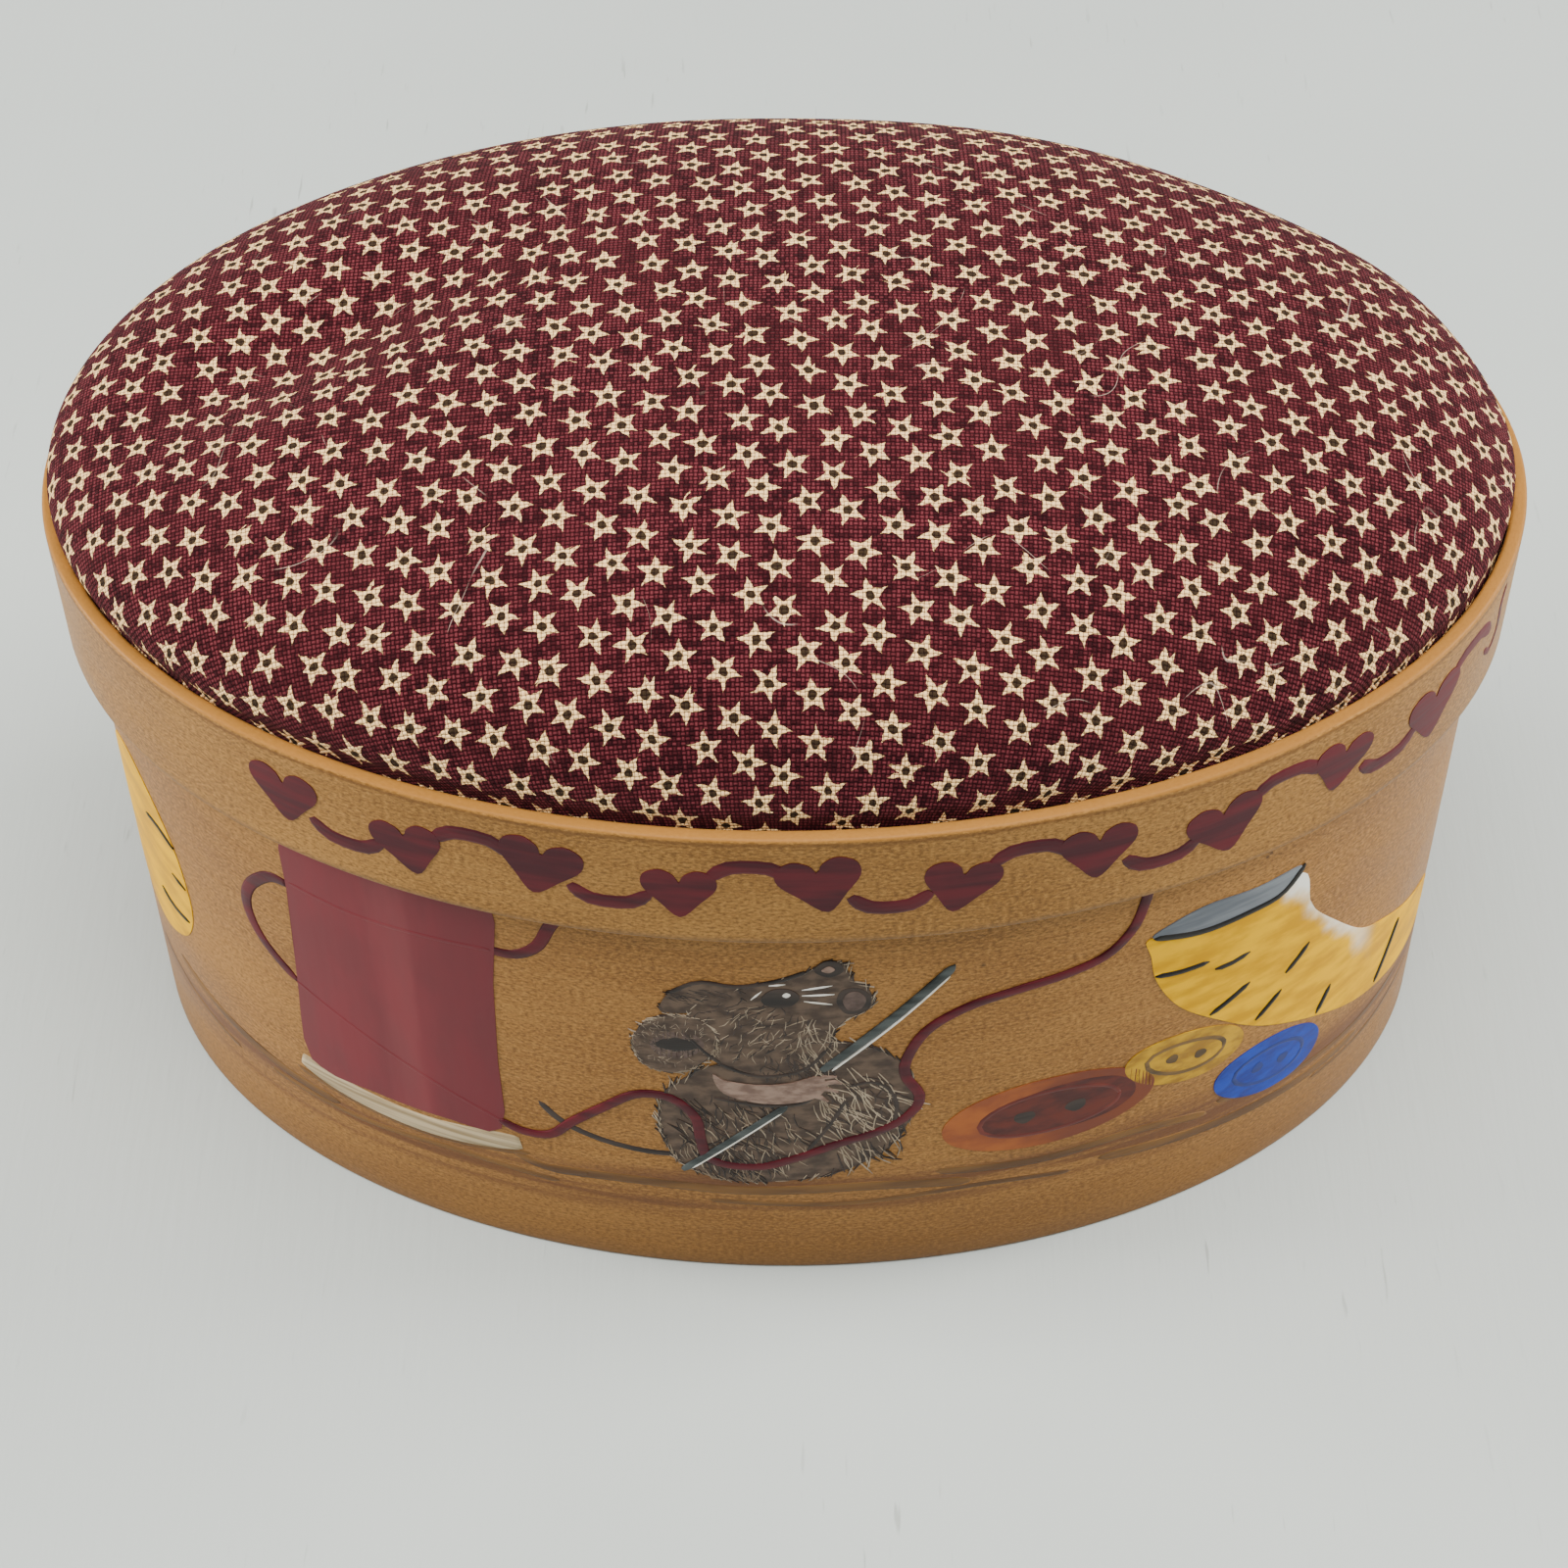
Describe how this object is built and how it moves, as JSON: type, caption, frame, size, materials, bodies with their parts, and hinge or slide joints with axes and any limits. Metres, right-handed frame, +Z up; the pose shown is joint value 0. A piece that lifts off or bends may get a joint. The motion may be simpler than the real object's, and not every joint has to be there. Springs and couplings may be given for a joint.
{
  "type": "sewing box with pincushion lid",
  "caption": "Oval bentwood sewing box with a lift-off lid that carries a crowned, cloth-covered pincushion, painted with sewing things.",
  "frame": {"origin": "centre of the base, on the surface that the box stands on", "axes": "+Z up, +X along the oval's length, to the right seen from the front; the front of the box faces -Y and the laps of the bands are at +Y"},
  "size_m": [0.15, 0.1013, 0.0931],
  "materials": {
    "band_wood": "varnished golden maple veneer, satin",
    "board_wood": "bare sanded pale wood",
    "pin_brass": "dull, lightly tarnished",
    "card": "grey-brown pressed board",
    "wadding": "loose white fibre",
    "calico": "printed plain-weave cotton, burgundy with cream stars"
  },
  "bodies": {
    "box": {"box_band": "band_wood", "box_bottom": "board_wood", "box_lap_pins": "pin_brass"},
    "lid": {"lid_band": "band_wood", "lid_board": "board_wood", "lid_lap_pins": "pin_brass", "cushion_card": "card", "cushion_filling": "wadding", "cushion_cover": "calico"}
  },
  "joints": [
    {"name": "lid_lift", "type": "slide", "parent": "box", "child": "lid", "axis": [0, 0, 1], "range_m": [0, 0.07]}
  ]
}
